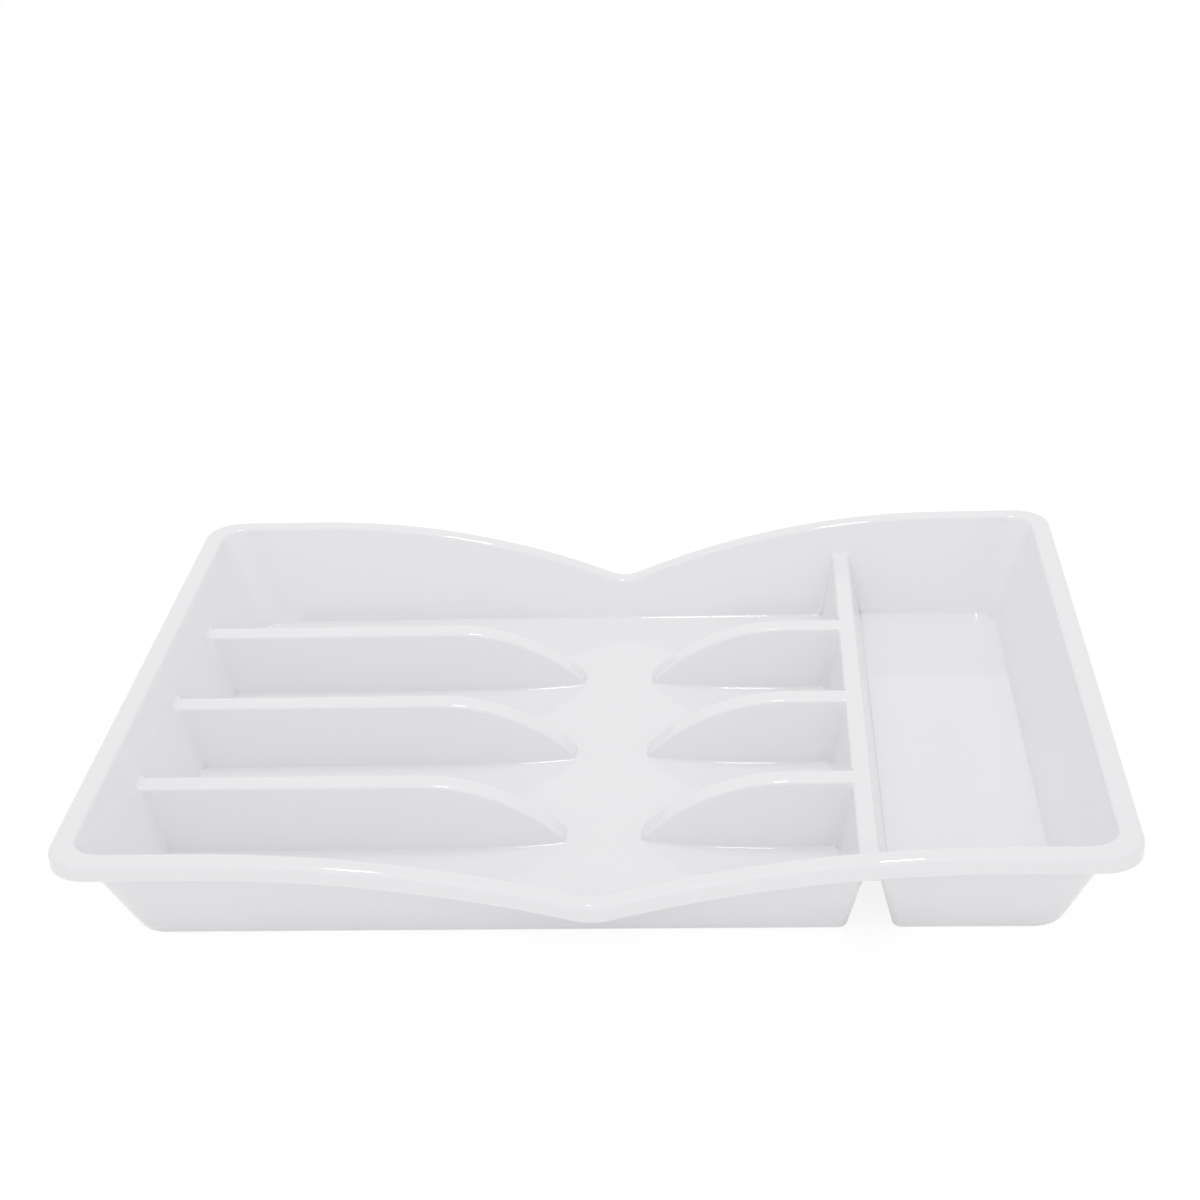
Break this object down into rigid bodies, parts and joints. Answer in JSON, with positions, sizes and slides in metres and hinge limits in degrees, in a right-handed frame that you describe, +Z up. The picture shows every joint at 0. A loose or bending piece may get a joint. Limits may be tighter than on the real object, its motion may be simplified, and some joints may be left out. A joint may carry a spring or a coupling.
{
  "type": "cutlery tray",
  "caption": "Moulded drawer tray for cutlery with leaning walls, a wavy turned-down rim, lengthwise rows with a finger trough, and a side compartment.",
  "frame": {"origin": "under the middle of the floor, on the plane that the tray stands on", "axes": "+X along the tray towards the side compartment, +Y from the front to the back, +Z up"},
  "size_m": [0.4, 0.31, 0.0447],
  "materials": {
    "tray_plastic": "glossy white, smooth moulded polystyrene"
  },
  "bodies": {
    "root": {"main_floor": "tray_plastic", "side_floor": "tray_plastic", "front_wall": "tray_plastic", "back_wall": "tray_plastic", "left_wall": "tray_plastic", "right_wall": "tray_plastic", "rim_front": "tray_plastic", "rim_back": "tray_plastic", "rim_left": "tray_plastic", "rim_right": "tray_plastic", "cross_divider": "tray_plastic", "left_divider_back": "tray_plastic", "left_divider_middle": "tray_plastic", "left_divider_front": "tray_plastic", "right_divider_back": "tray_plastic", "right_divider_middle": "tray_plastic", "right_divider_front": "tray_plastic"}
  },
  "joints": []
}
